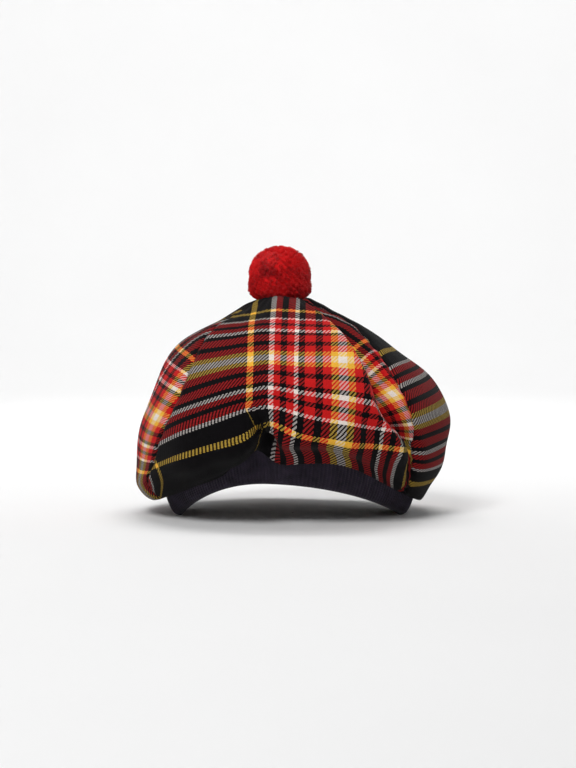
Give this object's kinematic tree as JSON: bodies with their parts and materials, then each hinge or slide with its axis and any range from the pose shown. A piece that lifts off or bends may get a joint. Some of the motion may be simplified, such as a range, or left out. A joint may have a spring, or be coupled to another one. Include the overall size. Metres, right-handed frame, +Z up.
{
  "type": "tam o shanter",
  "caption": "Baggy tartan cap of gores gathered onto a ribbed knit band that is open for the head, with a round wool pompom on top.",
  "frame": {"origin": "on the surface the hat rests on, under the middle of its bounding box", "axes": "+Z up through the pompom, -Y out over the brow, +X to the right as seen from in front"},
  "size_m": [0.257, 0.2532, 0.22],
  "materials": {
    "tartan": "matt twill-woven tartan in red and black with white and yellow lines",
    "rib_knit": "matt black rib knit",
    "pompom_yarn": "fuzzy trimmed red wool yarn"
  },
  "bodies": {
    "root": {"gore_front": "tartan", "gore_tucked": "tartan", "gore_right": "tartan", "gore_back": "tartan", "gore_left": "tartan", "band": "rib_knit", "pompom": "pompom_yarn"}
  },
  "joints": []
}
